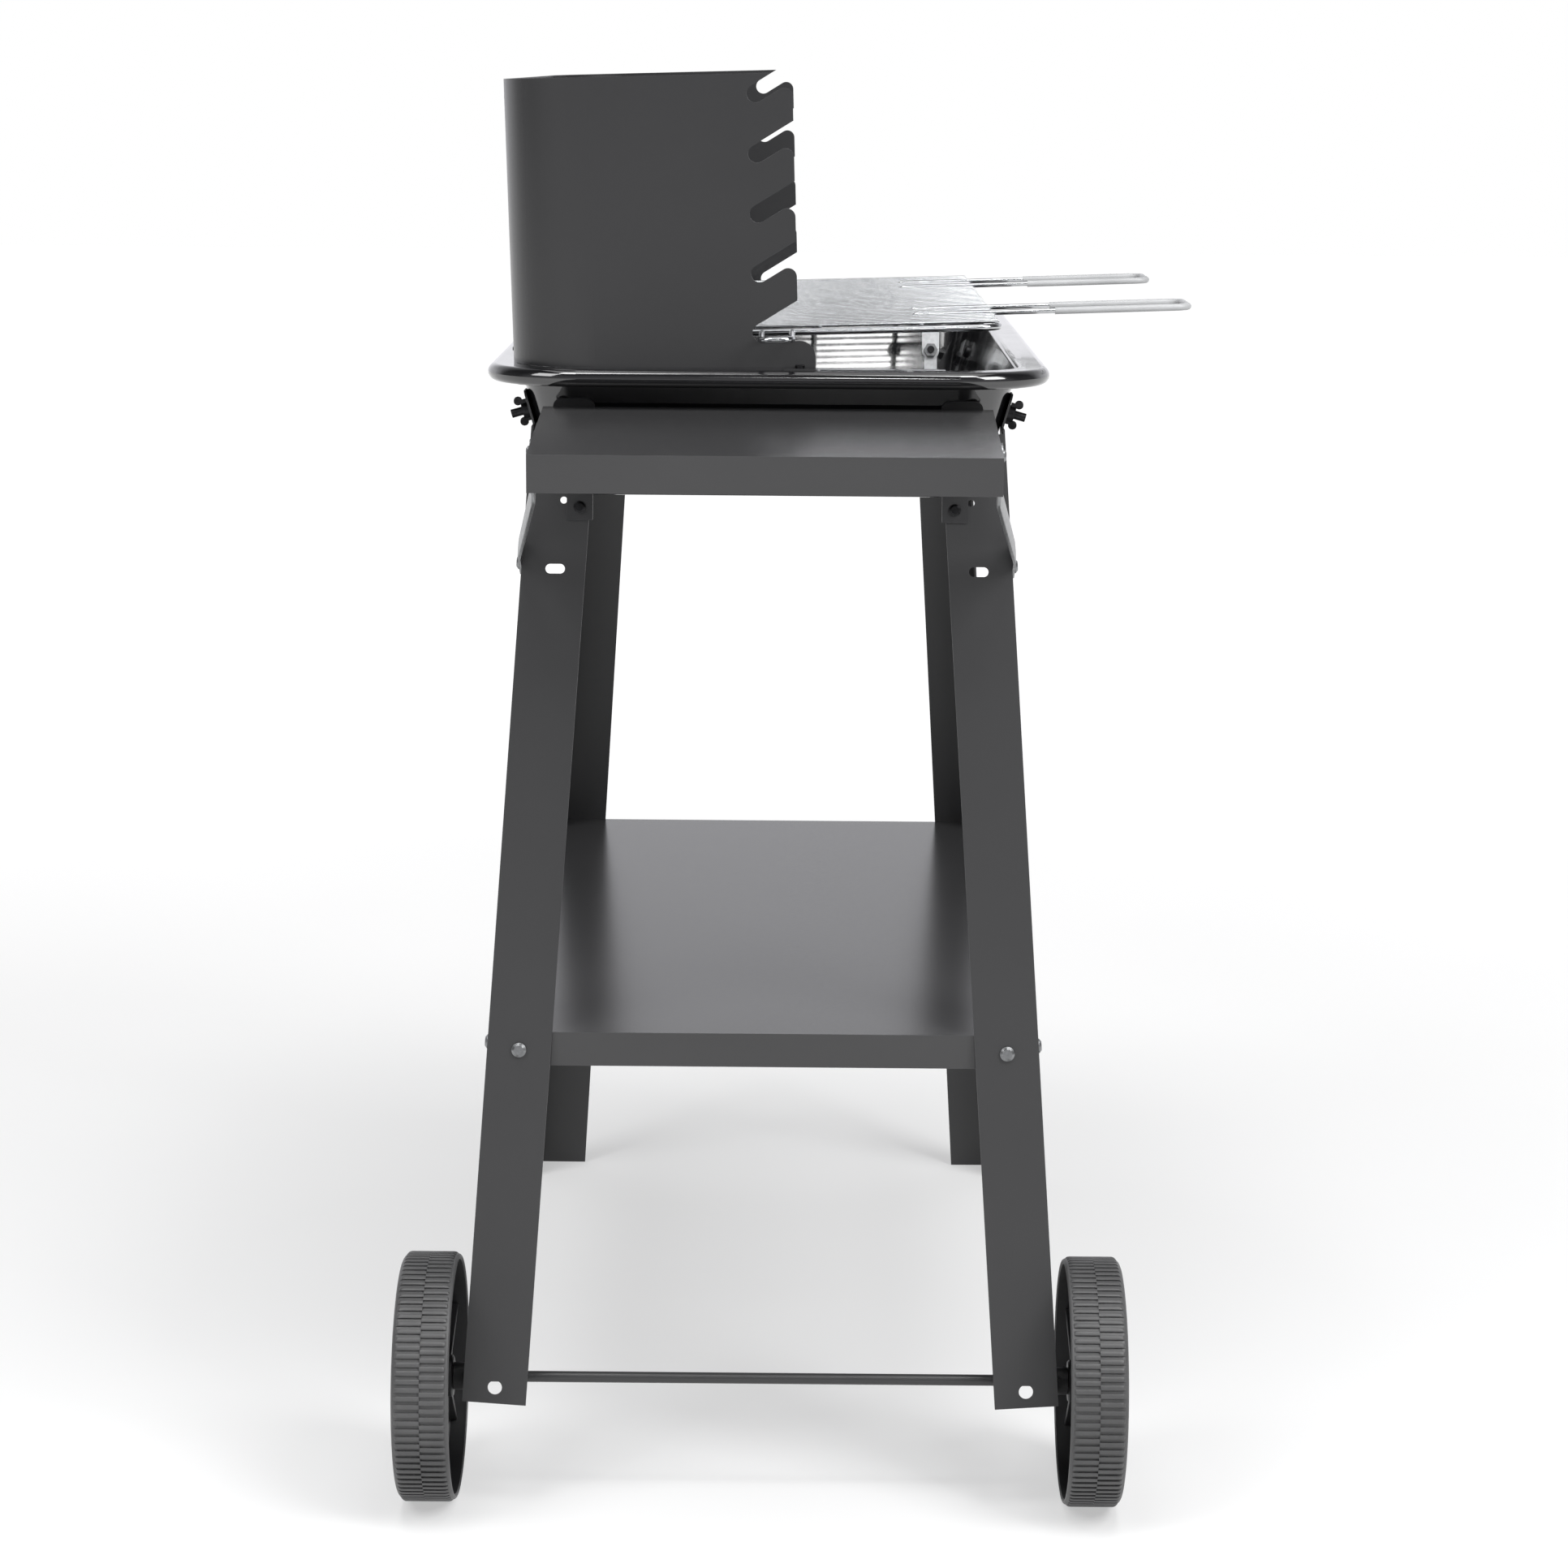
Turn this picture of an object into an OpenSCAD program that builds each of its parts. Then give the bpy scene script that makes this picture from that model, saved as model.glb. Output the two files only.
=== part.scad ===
// Rectangular trolley charcoal grill on four splayed sheet-steel legs.
// +X runs along the grill from the wheel end to the foot end, -Y is the open cooking side, +Z is up.
// The origin is on the ground, at the middle of the overall box.

/* [Bowl] */
// Half length of the bowl at its mouth
bowl_half_x = 262; // [258:1:266]
// Half width of the bowl at its mouth
bowl_half_y = 145; // [143:0.5:147]
// Height of the rim above the ground
rim_z = 658.5; // [655:0.5:662]
// Depth of the bowl
bowl_depth = 76; // [70:1:80]
// Slope of the bowl walls from the vertical, in degrees
bowl_draft = 16; // [14:1:18]

/* [Legs] */
// Distance from the middle to a leg's end face, at the splay reference height
leg_face_x = 248; // [247:0.5:249]
// Distance from the middle to a leg's side face, at the splay reference height
leg_face_y = 134.5; // [134:0.5:135]
// Lengthwise splay of the legs, in degrees
splay_x = 9; // [8:0.5:10]
// Sideways splay of the legs, in degrees
splay_y = 3.8; // [3.4:0.2:4.2]
// Width of each leg flange
flange_w = 37; // [32:1:42]

/* [Windshield] */
// Height of the windshield's top edge above the ground
shield_top_z = 824.5; // [820:0.5:835]
// Vertical distance between two grid slots
slot_pitch = 33.5; // [33:0.5:34]
// Backward lean of the windshield and the cooking grid, in degrees
lean = 1.8; // [0:0.2:2]

/* [Side table] */
// Length of the side table, away from the legs
table_len = 230; // [200:5:260]
// Half width of the side table at the legs
table_half_w = 129; // [120:1:132]

/* [Shelf] */
// Height of the bottom shelf's top face
shelf_z = 278; // [240:1:320]

/* [Wheels] */
// Radius of the wheels
wheel_r = 72.5; // [71:0.5:74]
// Width of a wheel
wheel_w = 33; // [31:0.5:36]
// Diameter of the axle
axle_d = 6.5; // [6:0.5:8]

/* [Cooking grid] */
// Distance between two fine grid wires
bar_pitch = 9.6; // [9.2:0.2:10]
// Distance from the grid's cross wire to the tip of a handle
handle_reach = 162; // [140:1:175]

/* [Hidden] */
$fn = 48;

// Small cut allowance, so that cutters pass right through a face.
eps = 0.5;
// A block larger than the whole grill, for trimming.
huge = 2000;
// Gap between pieces that move past each other.
free_gap = 0.3;

// Sheet and wall thicknesses.
leg_t = 1.2;
bowl_t = 1;
shield_t = 1;
tray_t = 1.2;

// Bowl section.
bowl_corner_r = 36;
bead_r = 5;
bead_offset = 13;
mouth_bend_r = 4;
floor_bend_r = 8;
floor_z = rim_z - bowl_depth;
draft_tan = tan(bowl_draft);
corner_x = bowl_half_x - bowl_corner_r;
corner_y = bowl_half_y - bowl_corner_r;

// Legs: the reference height is where leg_face_x and leg_face_y hold.
ref_z = 650;
foot_x = leg_face_x + ref_z * tan(splay_x);
foot_y = leg_face_y + ref_z * tan(splay_y);
end_bend_z = (foot_x - leg_t - bowl_half_x + draft_tan * rim_z) / (tan(splay_x) + draft_tan);
side_bend_z = (foot_y - leg_t - bowl_half_y + draft_tan * rim_z) / (tan(splay_y) + draft_tan);
tab_h = 20;
tab_w = 24;
tab_inset = 13;
// The side bolts sit off the middle of their tabs, where the wall is still flat.
side_bolt_in = 5.5;
tab_bolt_up = 8;
wheel_leg_bottom_z = 65.5;

// Fasteners.
m5_r = 2.5;
m5_hole_r = 2.8;
m4_r = 2;
m4_hole_r = 2.2;
tap_r = 1.6;
spare_hole_r = 2;

// Axle and wheels.
axle_r = axle_d / 2;
axle_set_back = 22;
leg_end_hole_r = 4.15;
leg_end_hole_z = wheel_r + 1;
axle_clearance = 0.05;
wheel_in_y = 177;
hub_in_y = 180;
hub_out_y = 203;
hub_r = 12;
tread_t = 6;
cap_t = 4;
axle_x = -(leg_x(wheel_r) - axle_set_back);
wheel_out_y = wheel_in_y + wheel_w;

// Windshield, whose side panels stand just outside the bowl's mouth.
shield_gap = 3.5;
shield_x = bowl_half_x + shield_gap;
shield_y = bowl_half_y + shield_gap;
shield_r = 50;
shield_front_y = -17.5;
shield_foot_y = -27;
seam_x = 190;
seam_overlap = 16;
seam_screw_z = 814;
slot_r = 5;
slot_angle = 30;
slot_end_y = 3.5;
slot_floor_z = 674.3;
slot_count = 5;
tooth_r = 5;
rim_screw_out = 6.3;
rim_tab_out = 11;

// Cooking grid.
grid_wire_r = 2;
bar_r = 1;
grid_half_x = 228;
grid_rear_y = 130;
grid_front_y = -134;
grid_corner_r = 12;
grid_z = slot_floor_z + free_gap + grid_wire_r;
ear_x = 287;
ear_y = -5.2;
ear_half_w = 8.75;
ear_corner_r = 6;
ear_wire_r = 1.8;
cross_ys = [-89, -30, 30, 89];
bar_count = 47;

// Handles.
handle_r = 1.5;
eye_r = handle_r + grid_wire_r + 0.1;
handle_tilt = 0.3;
handle_in_x = 11.5 * bar_pitch;
handle_out_x = 16.5 * bar_pitch;
handle_corner_r = 8;
grip_r = 2.1;
grip_len = 72;

// Charcoal grate.
coal_half_x = 234;
coal_half_y = 120;
coal_corner_r = 20;
coal_wire_r = 2.5;
coal_bar_r = 2;
coal_bar_pitch = 18;
ledge_z = 612;
coal_z = ledge_z + free_gap + coal_wire_r;
bracket_t = 1.5;
bracket_gap = 1.5;
bracket_back = bowl_t + bracket_gap + bracket_t;

// Side table, which droops a little towards its free end.
table_z = 636;
table_droop = 1.1;
table_taper = 6;
tray_lip = 20;
table_ear_z = 571;
// The table starts this far outside the legs, to clear the bowl's wall and its bolt heads.
table_start = 8.5;
table_screw_y = 108;
table_screw_z = 578;

// Brace straps under the side table.
strap_r = 7;
strap_t = 1.5;
strap_gap = 0.5;
brace_z = 544;
brace_x = 246;

// Overall box, used to put the origin in its middle.
box_min_x = -(leg_x(table_z) + table_len * cos(table_droop) + tray_lip * sin(table_droop));
box_max_x = foot_x;
box_min_y = cross_ys[0] - handle_reach - grip_r;
box_max_y = wheel_out_y;
centre_shift = [-(box_min_x + box_max_x) / 2, -(box_min_y + box_max_y) / 2, 0];

graphite = [0.25, 0.25, 0.26];
enamel = [0.06, 0.06, 0.06];
zinc = [0.78, 0.79, 0.80];
chrome = [0.85, 0.86, 0.88];
plastic = [0.22, 0.22, 0.22];
grip_grey = [0.55, 0.56, 0.57];

// Outer face of the legs and of the bowl walls at height z.
function leg_x(z) = leg_face_x + tan(splay_x) * (ref_z - z);
function leg_y(z) = leg_face_y + tan(splay_y) * (ref_z - z);
function wall_x(z) = bowl_half_x - draft_tan * (rim_z - z);
function wall_y(z) = bowl_half_y - draft_tan * (rim_z - z);
// Points on an arc about c, from angle a to angle b.
function arc(c, r, a, b, n = 8) =
  [for (i = [0:n]) let (t = a + (b - a) * i / n) [c[0] + r * cos(t), c[1] + r * sin(t)]];

// Every node is drawn in its colour and moved so that the origin is in the middle.
module piece(colour) {
  color(colour) translate(centre_shift) children();
}

// ex and sy are +1 or -1: the end along X and the side along Y.
module quadrant(ex, sy) {
  mirror([ex < 0 ? 1 : 0, 0, 0]) mirror([0, sy < 0 ? 1 : 0, 0]) children();
}

module all_quadrants() {
  for (ex = [-1, 1], sy = [-1, 1]) quadrant(ex, sy) children();
}

// Plane of a leg's end face: 2D x is Y, 2D y is up the slope, extruding goes outwards.
module on_end_face(out = 0) {
  translate([foot_x, 0, 0]) rotate([0, -splay_x, 0]) rotate([90, 0, 90]) translate([0, 0, out]) children();
}

// Plane of a leg's side face: 2D x is X, 2D y is up the slope, extruding goes inwards.
module on_side_face(in = 0) {
  translate([0, foot_y, 0]) rotate([splay_y, 0, 0]) rotate([90, 0, 0]) translate([0, 0, in]) children();
}

// A point on a leg's end face at (y, z), with local +Z pointing outwards.
module at_end_face(y, z) {
  on_end_face() translate([y, z / cos(splay_x), 0]) children();
}

// A point on a leg's side face at (x, z), with local +Z pointing outwards.
module at_side_face(x, z) {
  on_side_face() translate([x, z / cos(splay_y), 0]) mirror([0, 0, 1]) children();
}

// Tabs at a leg's top lie flat on the bowl walls: origin at the bend, 2D y up the wall, +Z outwards.
module on_end_tab() {
  translate([wall_x(end_bend_z), 0, end_bend_z]) rotate([0, bowl_draft, 0]) rotate([90, 0, 90]) children();
}

module on_side_tab() {
  translate([0, wall_y(side_bend_z), side_bend_z]) rotate([-bowl_draft, 0, 0]) rotate([90, 0, 0])
    mirror([0, 0, 1]) children();
}

end_tab_y = leg_y(end_bend_z) - tab_inset - tab_w / 2;
side_tab_x = leg_x(side_bend_z) - tab_inset - tab_w / 2;
side_bolt_x = side_tab_x - side_bolt_in;

module at_end_tab_bolt() {
  on_end_tab() translate([end_tab_y, tab_bolt_up, 0]) children();
}

module at_side_tab_bolt() {
  on_side_tab() translate([side_bolt_x, tab_bolt_up, 0]) children();
}

// Pan-head bolt: the head sits below z = 0 and the shank runs up +Z.
module bolt(r, length) {
  cylinder(r = r, h = length);
  mirror([0, 0, 1]) cylinder(r = 1.7 * r, h = 0.5 * r);
  translate([0, 0, -0.5 * r]) mirror([0, 0, 1]) cylinder(r1 = 1.7 * r, r2 = 1.1 * r, h = 0.5 * r);
}

// Hexagon nut standing on z = 0.
module nut(r) {
  difference() {
    cylinder(r = 2 * r, h = 1.6 * r, $fn = 6);
    translate([0, 0, -eps]) cylinder(r = r, h = 1.6 * r + 2 * eps);
  }
}

// Wing nut standing on z = 0, with its two wings along X.
module wing_nut(r) {
  hub_h = 2 * r;
  wing_t = 1.5;
  difference() {
    union() {
      cylinder(r = 1.9 * r, h = hub_h);
      for (s = [-1, 1])
        translate([s * 2.7 * r, wing_t / 2, 1.2 * hub_h]) rotate([90, 0, 0]) cylinder(r = r, h = wing_t);
      translate([-2.7 * r, -wing_t / 2, 0.3 * hub_h]) cube([5.4 * r, wing_t, 0.6 * hub_h]);
    }
    translate([0, 0, -eps]) cylinder(r = r, h = 3 * hub_h);
  }
}

// Round bar between two points.
module rod(a, b, r) {
  d = b - a;
  l = norm(d);
  translate(a) rotate([0, acos(d[2] / l), atan2(d[1], d[0])]) cylinder(r = r, h = l);
}

// Closed wire ring on a rounded rectangle, centred in the XY plane.
module wire_ring(hx, hy, corner, r) {
  for (s = [-1, 1]) {
    rod([-(hx - corner), s * hy, 0], [hx - corner, s * hy, 0], r);
    rod([s * hx, -(hy - corner), 0], [s * hx, hy - corner, 0], r);
  }
  for (k = [0:3])
    rotate([0, 0, 90 * k])
      translate([(k % 2 == 0 ? hx : hy) - corner, (k % 2 == 0 ? hy : hx) - corner, 0])
        rotate_extrude(angle = 90) translate([corner, 0]) circle(r);
}

// ---- Bowl ----

module bowl_section() {
  floor_c = [
    bowl_corner_r - draft_tan * bowl_depth - floor_bend_r * tan((90 - bowl_draft) / 2),
    floor_z + floor_bend_r
  ];
  mouth_c = [
    bowl_corner_r + (mouth_bend_r - bowl_t) / cos(bowl_draft) - mouth_bend_r * draft_tan,
    rim_z - mouth_bend_r
  ];
  polygon(concat(
    [[0, floor_z]],
    arc(floor_c, floor_bend_r, -90, -bowl_draft),
    arc(mouth_c, mouth_bend_r - bowl_t, 180 - bowl_draft, 90),
    [[bowl_corner_r + bead_offset, rim_z - bowl_t], [bowl_corner_r + bead_offset, rim_z]],
    arc(mouth_c, mouth_bend_r, 90, 180 - bowl_draft),
    arc(floor_c, floor_bend_r - bowl_t, -bowl_draft, -90),
    [[0, floor_z + bowl_t]]
  ));
}

module bead_section() {
  translate([bowl_corner_r + bead_offset, rim_z - bead_r]) circle(bead_r);
}

module bowl_sweep() {
  all_quadrants() translate([corner_x, corner_y, 0]) rotate_extrude(angle = 90) children();
  for (s = [0, 180]) {
    rotate([0, 0, s]) translate([corner_x, corner_y, 0]) rotate([90, 0, 0])
      linear_extrude(2 * corner_y) children();
    rotate([0, 0, s + 90]) translate([corner_y, corner_x, 0]) rotate([90, 0, 0])
      linear_extrude(2 * corner_x) children();
  }
}

module bowl() {
  drain_r = 4;
  difference() {
    union() {
      bowl_sweep() bowl_section();
      bowl_sweep() bead_section();
      translate([-corner_x, -corner_y, floor_z]) cube([2 * corner_x, 2 * corner_y, bowl_t]);
    }
    all_quadrants() {
      at_end_tab_bolt() translate([0, 0, -10]) cylinder(r = m5_hole_r, h = 20);
      at_side_tab_bolt() translate([0, 0, -10]) cylinder(r = m5_hole_r, h = 20);
    }
    at_rim_screws() translate([0, 0, -5]) cylinder(r = tap_r, h = 10);
    for (x = [-140, 0, 140]) translate([x, 0, floor_z - eps]) cylinder(r = drain_r, h = 2 * bowl_t + eps);
  }
}

// Four clips on the inside of the end walls, each with a ledge for the charcoal grate.
module grate_brackets() {
  ledge = 16;
  drop = (rim_z - 16 - ledge_z) / cos(bowl_draft);
  down = (end_bend_z - ledge_z) / cos(bowl_draft);
  all_quadrants() {
    difference() {
      on_end_tab() translate([end_tab_y, 0, -bracket_back]) union() {
        translate([-4.5, -down - 2, 0]) cube([9, drop - 4, bracket_t]);
        translate([-6, drop - down - 12, 0]) cube([12, 12, bracket_t]);
        translate([0, tab_bolt_up, 0]) cylinder(r = 6, h = bracket_t);
      }
      at_end_tab_bolt() translate([0, 0, -10]) cylinder(r = m5_r, h = 20);
    }
    translate([wall_x(ledge_z) - bracket_back - ledge, end_tab_y - 4.5, ledge_z - bracket_t])
      cube([ledge + 0.6, 9, bracket_t]);
  }
}

// ---- Charcoal grate ----

module charcoal_grate_frame() {
  translate([0, 0, coal_z]) {
    wire_ring(coal_half_x, coal_half_y, coal_corner_r, coal_wire_r);
    for (s = [-1, 1]) {
      y = s * coal_half_y / 3;
      rod([-(coal_half_x - coal_wire_r), y, 0], [coal_half_x - coal_wire_r, y, 0], coal_wire_r);
    }
  }
}

module charcoal_grate_bars() {
  count = 11;
  top = coal_z + coal_wire_r + coal_bar_r;
  for (i = [-count:count]) {
    x = i * coal_bar_pitch;
    rod([x, -coal_half_y, top], [x, coal_half_y, top], coal_bar_r);
  }
}

// ---- Windshield ----

// The windshield and the cooking grid lean back together about the front of the rim.
module leaning() {
  translate([0, 0, rim_z]) rotate([-lean, 0, 0]) translate([0, 0, -rim_z]) children();
}

function slot_z(k) = slot_floor_z + slot_r + k * slot_pitch;

// One slot in (Y, Z): a round seat that opens upwards to the front.
module slot_outline(k) {
  translate([slot_end_y, slot_z(k)]) {
    circle(slot_r);
    rotate(180 - slot_angle) translate([0, -slot_r]) square([60, 2 * slot_r]);
  }
}

// What rounds the tip of the tooth below slot k.
module tooth_tip_cut(k) {
  centre_y = shield_front_y + tooth_r;
  down = slot_r + tooth_r - (slot_end_y - centre_y) * sin(slot_angle);
  centre_z = slot_z(k) - down / cos(slot_angle);
  tip_z = slot_z(k) + (slot_end_y - shield_front_y) * tan(slot_angle) - slot_r / cos(slot_angle);
  difference() {
    polygon([
      [shield_front_y - 1, centre_z], [shield_front_y - 1, tip_z + 1],
      [centre_y + tooth_r * sin(slot_angle), centre_z + tooth_r * cos(slot_angle)],
      [centre_y, centre_z]
    ]);
    translate([centre_y, centre_z]) circle(tooth_r);
  }
}

module side_panel_outline() {
  back_y = shield_y - shield_r;
  foot_r = 9;
  difference() {
    union() {
      translate([shield_front_y, rim_z - 10]) square([back_y - shield_front_y, shield_top_z - rim_z + 10]);
      translate([shield_foot_y + foot_r, rim_z - 10]) square([30, slot_floor_z - rim_z + 10]);
      translate([shield_foot_y, rim_z - 10]) square([foot_r + 1, slot_floor_z - foot_r - rim_z + 10]);
      translate([shield_foot_y + foot_r, slot_floor_z - foot_r]) circle(foot_r);
    }
    for (k = [0:slot_count - 1]) slot_outline(k);
    for (k = [1:slot_count - 1]) tooth_tip_cut(k);
    polygon([
      [slot_end_y, slot_floor_z], [slot_end_y, slot_z(0)],
      [slot_end_y - 60 * cos(slot_angle), slot_z(0) + 60 * sin(slot_angle)], [-80, slot_floor_z]
    ]);
    translate([-80, slot_floor_z]) square([80 + shield_front_y, 200]);
  }
}

// Local +Z points up, at each screw that holds the windshield down on the rim.
module at_rim_screws() {
  z = rim_z + shield_t;
  for (ex = [-1, 1]) {
    translate([ex * (bowl_half_x + rim_screw_out), shield_foot_y + 9, z]) children();
    translate([ex * 120, bowl_half_y + rim_screw_out, z]) children();
  }
}

module above_rim() {
  difference() {
    children();
    translate([-huge / 2, -huge / 2, rim_z - huge]) cube(huge);
  }
}

// Side panel, its rounded rear corner and the lap behind the back panel, at the foot end.
module windshield_side() {
  outer_r = shield_r - shield_t;
  bend_x = shield_x - shield_r;
  lap_x = seam_x - seam_overlap / 2;
  height = shield_top_z - rim_z + 10;
  above_rim() leaning() difference() {
    union() {
      translate([shield_x - shield_t, 0, 0]) rotate([90, 0, 90]) linear_extrude(shield_t)
        side_panel_outline();
      translate([bend_x, shield_y - shield_r, rim_z - 10])
        rotate_extrude(angle = 90) translate([outer_r, 0]) square([shield_t, height]);
      translate([lap_x, shield_y - shield_t, rim_z - 10]) cube([bend_x - lap_x, shield_t, height]);
    }
    translate([seam_x, shield_y, seam_screw_z]) rotate([90, 0, 0]) translate([0, 0, -10])
      cylinder(r = m4_hole_r, h = 20);
  }
  difference() {
    translate([shield_x - eps, shield_foot_y, rim_z])
      cube([bowl_half_x + rim_tab_out - shield_x + eps, 18, shield_t]);
    at_rim_screws() translate([0, 0, -5]) cylinder(r = tap_r, h = 10);
  }
}

module windshield_back() {
  half = seam_x + seam_overlap / 2;
  height = shield_top_z - rim_z + 10;
  above_rim() leaning() difference() {
    translate([-half, shield_y - 2 * shield_t, rim_z - 10]) cube([2 * half, shield_t, height]);
    for (ex = [-1, 1])
      translate([ex * seam_x, shield_y, seam_screw_z]) rotate([90, 0, 0]) translate([0, 0, -10])
        cylinder(r = m4_hole_r, h = 20);
  }
  difference() {
    for (ex = [-1, 1])
      translate([ex * 120 - 9, shield_y - 2 * shield_t + 0.2, rim_z])
        cube([18, bowl_half_y + rim_tab_out - shield_y + 2 * shield_t - 0.2, shield_t]);
    at_rim_screws() translate([0, 0, -5]) cylinder(r = tap_r, h = 10);
  }
}

// Local +Z points forwards, at the outside of each windshield seam.
module at_seams() {
  leaning() for (ex = [-1, 1]) translate([ex * seam_x, shield_y, seam_screw_z]) rotate([90, 0, 0]) children();
}

module windshield_seam_screws() {
  at_seams() bolt(m4_r, 9);
}

module windshield_seam_nuts() {
  at_seams() translate([0, 0, 2 * shield_t]) nut(m4_r);
}

module windshield_rim_screws() {
  at_rim_screws() {
    cylinder(r = 2.7, h = 1.6);
    translate([0, 0, -6]) cylinder(r = tap_r, h = 6);
  }
}

// ---- Cooking grid ----

// The grid's own frame: z = 0 is the middle of its frame wire.
module in_grid() {
  leaning() translate([0, 0, grid_z]) children();
}

module grid_ear() {
  tip = ear_x - ear_corner_r;
  for (s = [-1, 1]) {
    y = ear_y + s * ear_half_w;
    rod([grid_half_x, y, 0], [tip, y, 0], ear_wire_r);
    translate([tip, y - s * ear_corner_r, 0]) mirror([0, s < 0 ? 1 : 0, 0])
      rotate_extrude(angle = 90) translate([ear_corner_r, 0]) circle(ear_wire_r);
  }
  rod([ear_x, ear_y - ear_half_w + ear_corner_r, 0],
    [ear_x, ear_y + ear_half_w - ear_corner_r, 0], ear_wire_r);
}

module grid_frame() {
  in_grid() {
    translate([0, (grid_rear_y + grid_front_y) / 2, 0])
      wire_ring(grid_half_x, (grid_rear_y - grid_front_y) / 2, grid_corner_r, grid_wire_r);
    for (ex = [-1, 1]) mirror([ex < 0 ? 1 : 0, 0, 0]) grid_ear();
  }
}

module grid_cross_wires() {
  reach = grid_half_x - grid_wire_r;
  in_grid() for (y = cross_ys) rod([-reach, y, 0], [reach, y, 0], grid_wire_r);
}

module grid_bars() {
  z = grid_wire_r + bar_r;
  half = (bar_count - 1) / 2;
  in_grid() for (i = [-half:half]) {
    x = i * bar_pitch;
    rod([x, grid_front_y, z], [x, grid_rear_y, z], bar_r);
  }
}

// ---- Handles ----

// The handle's own frame: its pivot is the X axis and its wires run forwards, above it.
module in_handle() {
  in_grid() translate([0, cross_ys[0], 0]) rotate([-handle_tilt, 0, 0]) children();
}

// Hairpin with an eye round the cross wire at each end, at the foot end.
module handle() {
  front = -handle_reach;
  in_handle() {
    for (x = [handle_in_x, handle_out_x]) {
      translate([x, 0, 0]) rotate([0, -90, 0]) rotate_extrude(angle = 290) translate([eye_r, 0])
        circle(handle_r);
      rod([x, 0, eye_r], [x, front + handle_corner_r, eye_r], handle_r);
    }
    translate([handle_in_x + handle_corner_r, front + handle_corner_r, eye_r]) rotate([0, 0, 180])
      rotate_extrude(angle = 90) translate([handle_corner_r, 0]) circle(handle_r);
    translate([handle_out_x - handle_corner_r, front + handle_corner_r, eye_r]) rotate([0, 0, 270])
      rotate_extrude(angle = 90) translate([handle_corner_r, 0]) circle(handle_r);
    rod([handle_in_x + handle_corner_r, front, eye_r],
      [handle_out_x - handle_corner_r, front, eye_r], handle_r);
  }
}

// Coating on the front of a handle, at the foot end.
module grip() {
  front = -handle_reach;
  start = front + handle_corner_r;
  in_handle() {
    for (x = [handle_in_x, handle_out_x]) difference() {
      rod([x, start, eye_r], [x, start + grip_len, eye_r], grip_r);
      rod([x, start - 1, eye_r], [x, start + grip_len + 1, eye_r], handle_r);
    }
    for (bend = [[handle_in_x + handle_corner_r, 180], [handle_out_x - handle_corner_r, 270]])
      translate([bend[0], start, eye_r]) rotate([0, 0, bend[1]]) rotate_extrude(angle = 90)
        translate([handle_corner_r, 0]) difference() {
          circle(grip_r);
          circle(handle_r);
        }
    difference() {
      rod([handle_in_x + handle_corner_r, front, eye_r],
        [handle_out_x - handle_corner_r, front, eye_r], grip_r);
      rod([handle_in_x, front, eye_r], [handle_out_x, front, eye_r], handle_r);
    }
  }
}

// ---- Legs ----

// L-profile leg in the +X +Y quadrant. bottom is the height of its lower end.
module leg_blank(bottom) {
  slope = tan(splay_y) * cos(splay_x);
  end_low = bottom / cos(splay_x);
  end_high = end_bend_z / cos(splay_x);
  side_slope = tan(splay_x) * cos(splay_y);
  side_low = bottom / cos(splay_y);
  side_high = side_bend_z / cos(splay_y);
  on_end_face(-leg_t) linear_extrude(leg_t) polygon([
    [foot_y - slope * end_low, end_low], [foot_y - slope * end_high, end_high],
    [foot_y - slope * end_high - flange_w, end_high],
    [foot_y - slope * end_low - flange_w, end_low - slope * flange_w]
  ]);
  on_side_face() linear_extrude(leg_t) polygon([
    [foot_x - side_slope * side_low, side_low], [foot_x - side_slope * side_high, side_high],
    [foot_x - side_slope * side_high - flange_w, side_high],
    [foot_x - side_slope * side_low - flange_w, side_low - side_slope * flange_w]
  ]);
}

// Top tab with two rounded corners, standing on y = 0.
module tab_outline() {
  corner = 5;
  translate([-tab_w / 2, 0]) square([tab_w, tab_h - corner]);
  translate([-tab_w / 2 + corner, 0]) square([tab_w - 2 * corner, tab_h]);
  for (s = [-1, 1]) translate([s * (tab_w / 2 - corner), tab_h - corner]) circle(corner);
}

module leg_tabs() {
  on_end_tab() translate([end_tab_y, 0, 0]) linear_extrude(leg_t) tab_outline();
  on_side_tab() translate([side_tab_x, 0, 0]) linear_extrude(leg_t) tab_outline();
}

module leg_holes() {
  slot_len = 11.3;
  slot_h = 5.6;
  mid_y = leg_y(brace_z) - flange_w / 2 - 1;
  shelf_screw_z = shelf_z - tray_lip / 2;
  at_end_tab_bolt() translate([0, 0, -10]) cylinder(r = m5_hole_r, h = 20);
  at_side_tab_bolt() translate([0, 0, -10]) cylinder(r = m5_hole_r, h = 20);
  at_end_face(mid_y, brace_z - 1) translate([0, 0, -10]) {
    for (s = [-1, 1]) translate([s * (slot_len - slot_h) / 2, 0, 0]) cylinder(r = slot_h / 2, h = 20);
    translate([-(slot_len - slot_h) / 2, -slot_h / 2, 0]) cube([slot_len - slot_h, slot_h, 20]);
  }
  at_end_face(leg_y(table_screw_z) - 22, table_screw_z + 4) translate([0, 0, -10])
    cylinder(r = spare_hole_r, h = 20);
  at_end_face(table_screw_y, table_screw_z) translate([0, 0, -10]) cylinder(r = m4_hole_r, h = 20);
  at_side_face(brace_x, brace_z) translate([0, 0, -10]) cylinder(r = m5_hole_r, h = 20);
  at_end_face(leg_y(shelf_screw_z) - flange_w / 2, shelf_screw_z) translate([0, 0, -10])
    cylinder(r = m5_hole_r, h = 20);
  at_side_face(leg_x(shelf_screw_z) - flange_w / 2, shelf_screw_z) translate([0, 0, -10])
    cylinder(r = m5_hole_r, h = 20);
}

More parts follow.
